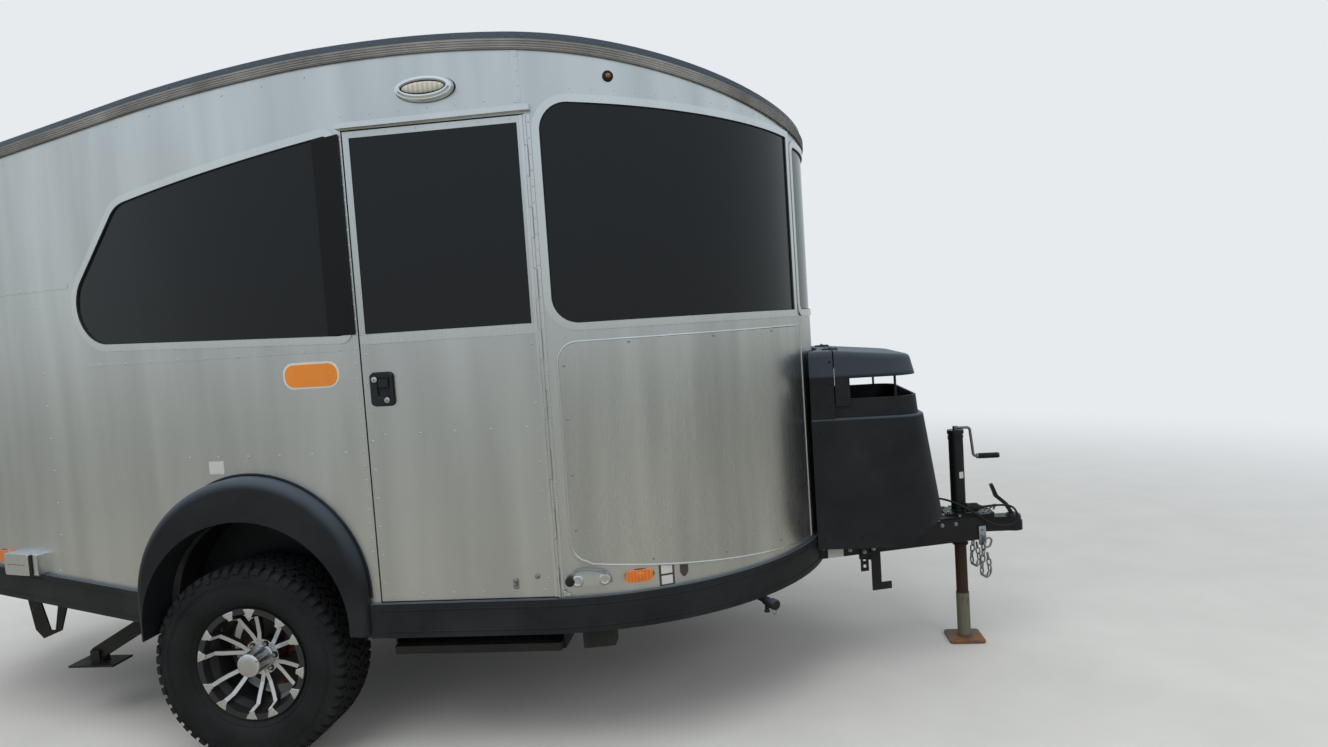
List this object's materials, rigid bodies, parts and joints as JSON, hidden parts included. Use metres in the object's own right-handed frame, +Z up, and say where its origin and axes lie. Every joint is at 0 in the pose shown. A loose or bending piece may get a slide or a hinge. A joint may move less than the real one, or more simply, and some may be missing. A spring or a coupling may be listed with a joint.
{
  "type": "travel caravan",
  "caption": "Teardrop travel caravan with one axle, aluminium skin, entry door, rear hatch, gas bottle cover and tongue jack.",
  "frame": {"origin": "on the ground under the middle of the overall length, on the centre line", "axes": "+X forward to the coupler, +Y to the left, +Z up"},
  "size_m": [4.925, 2.13, 2.65],
  "materials": {
    "skin": "satin rolled sheet",
    "roof_paint": "satin",
    "trim_rubber": "grooved",
    "bright_trim": "brushed",
    "stainless": "mirror brushed",
    "tinted_glass": "gloss",
    "black_plastic": "satin textured",
    "frame_paint": "semi gloss",
    "rusty_steel": "rusty",
    "floor_board": "coated board",
    "bottle_steel": "gloss",
    "alloy": "machined face, black barrel",
    "tyre": "sidewall",
    "drum_iron": "cast",
    "tread_metal": "tread plate",
    "white_plastic": "moulded",
    "lamp_lens": "lens"
  },
  "bodies": {
    "caravan": {"wall_right": "skin", "wall_left": "skin", "wall_nose": "skin", "wall_tail": "skin", "roof_shell": "roof_paint", "roof_trim": "trim_rubber", "drip_cap": "bright_trim", "rear_window_frame": "bright_trim", "nose_side_window_frame": "bright_trim", "nose_centre_window_frame": "bright_trim", "door_hinge_fixed": "bright_trim", "hatch_hinges": "bright_trim", "step_slides": "bright_trim", "stone_guards": "stainless", "safety_chains": "stainless", "rear_window_glass": "tinted_glass", "nose_side_window_glass": "tinted_glass", "nose_centre_window_glass": "tinted_glass", "tongue_cable": "black_plastic", "wheel_flares": "black_plastic", "rub_rails": "black_plastic", "gas_cover": "black_plastic", "wheel_housings": "black_plastic", "chassis_frame": "frame_paint", "axle_beam": "frame_paint", "suspension_arms": "frame_paint", "coupler": "frame_paint", "bottle_tray": "frame_paint", "jack_crank": "frame_paint", "stabiliser_brackets": "frame_paint", "underbody_fittings": "frame_paint", "jack_tube": "rusty_steel", "jack_leg": "rusty_steel", "floor_deck": "floor_board", "gas_bottles": "bottle_steel", "air_conditioner": "white_plastic", "roof_vent_base": "white_plastic", "marker_lamps": "lamp_lens", "tail_lamps": "lamp_lens", "porch_lamp": "lamp_lens"},
    "wheel_right": {"tyre_right": "tyre", "rim_right": "alloy", "brake_drum_right": "drum_iron"},
    "wheel_left": {"tyre_left": "tyre", "rim_left": "alloy", "brake_drum_left": "drum_iron"},
    "door": {"entry_door": "skin", "door_glass": "tinted_glass", "door_handle": "black_plastic", "door_hinge_moving": "bright_trim"},
    "hatch": {"rear_hatch": "skin", "hatch_glass": "tinted_glass"},
    "gas_lid": {"gas_lid": "black_plastic"},
    "step": {"entry_step": "tread_metal"},
    "vent_lid": {"roof_vent_lid": "white_plastic"},
    "leg_right": {"stabiliser_leg_right": "frame_paint"},
    "leg_left": {"stabiliser_leg_left": "frame_paint"},
    "foot_right": {"stabiliser_foot_right": "frame_paint"},
    "foot_left": {"stabiliser_foot_left": "frame_paint"}
  },
  "joints": [
    {"name": "wheel_right_spin", "type": "hinge", "parent": "caravan", "child": "wheel_right", "pos_m": [-0.5115, -0.918, 0.36], "axis": [0, 1, 0], "continuous": true},
    {"name": "wheel_left_spin", "type": "hinge", "parent": "caravan", "child": "wheel_left", "pos_m": [-0.5115, 0.918, 0.36], "axis": [0, 1, 0], "continuous": true},
    {"name": "entry_door_swing", "type": "hinge", "parent": "caravan", "child": "door", "pos_m": [0.6395, -1.021, 1.385], "axis": [0, 0, 1], "range_deg": [0, 160]},
    {"name": "rear_hatch_lift", "type": "hinge", "parent": "caravan", "child": "hatch", "pos_m": [-2.4545, 0, 1.648], "axis": [0, 1, 0], "range_deg": [0, 85]},
    {"name": "gas_lid_tilt", "type": "hinge", "parent": "caravan", "child": "gas_lid", "pos_m": [1.656, 0, 1.331], "axis": [0, -1, 0], "range_deg": [0, 80]},
    {"name": "entry_step_slide", "type": "slide", "parent": "caravan", "child": "step", "axis": [0, -1, 0], "range_m": [0, 0.26]},
    {"name": "roof_vent_tilt", "type": "hinge", "parent": "caravan", "child": "vent_lid", "pos_m": [-1.0535, 0, 2.434], "axis": [0, 1, 0], "range_deg": [0, 60]},
    {"name": "stabiliser_right_fold", "type": "hinge", "parent": "caravan", "child": "leg_right", "pos_m": [-1.1515, -0.64, 0.425], "axis": [0, -1, 0], "range_deg": [-20, 50]},
    {"name": "stabiliser_right_foot", "type": "hinge", "parent": "leg_right", "child": "foot_right", "pos_m": [-1.42833, -0.64, 0.27469], "axis": [0, -1, 0], "range_deg": [-50, 20]},
    {"name": "stabiliser_left_fold", "type": "hinge", "parent": "caravan", "child": "leg_left", "pos_m": [-1.1515, 0.64, 0.425], "axis": [0, -1, 0], "range_deg": [-20, 50]},
    {"name": "stabiliser_left_foot", "type": "hinge", "parent": "leg_left", "child": "foot_left", "pos_m": [-1.42833, 0.64, 0.27469], "axis": [0, -1, 0], "range_deg": [-50, 20]}
  ],
  "couplings": [
    {"joint": "stabiliser_right_foot", "follows": "stabiliser_right_fold", "ratio": -1},
    {"joint": "stabiliser_left_foot", "follows": "stabiliser_left_fold", "ratio": -1}
  ]
}
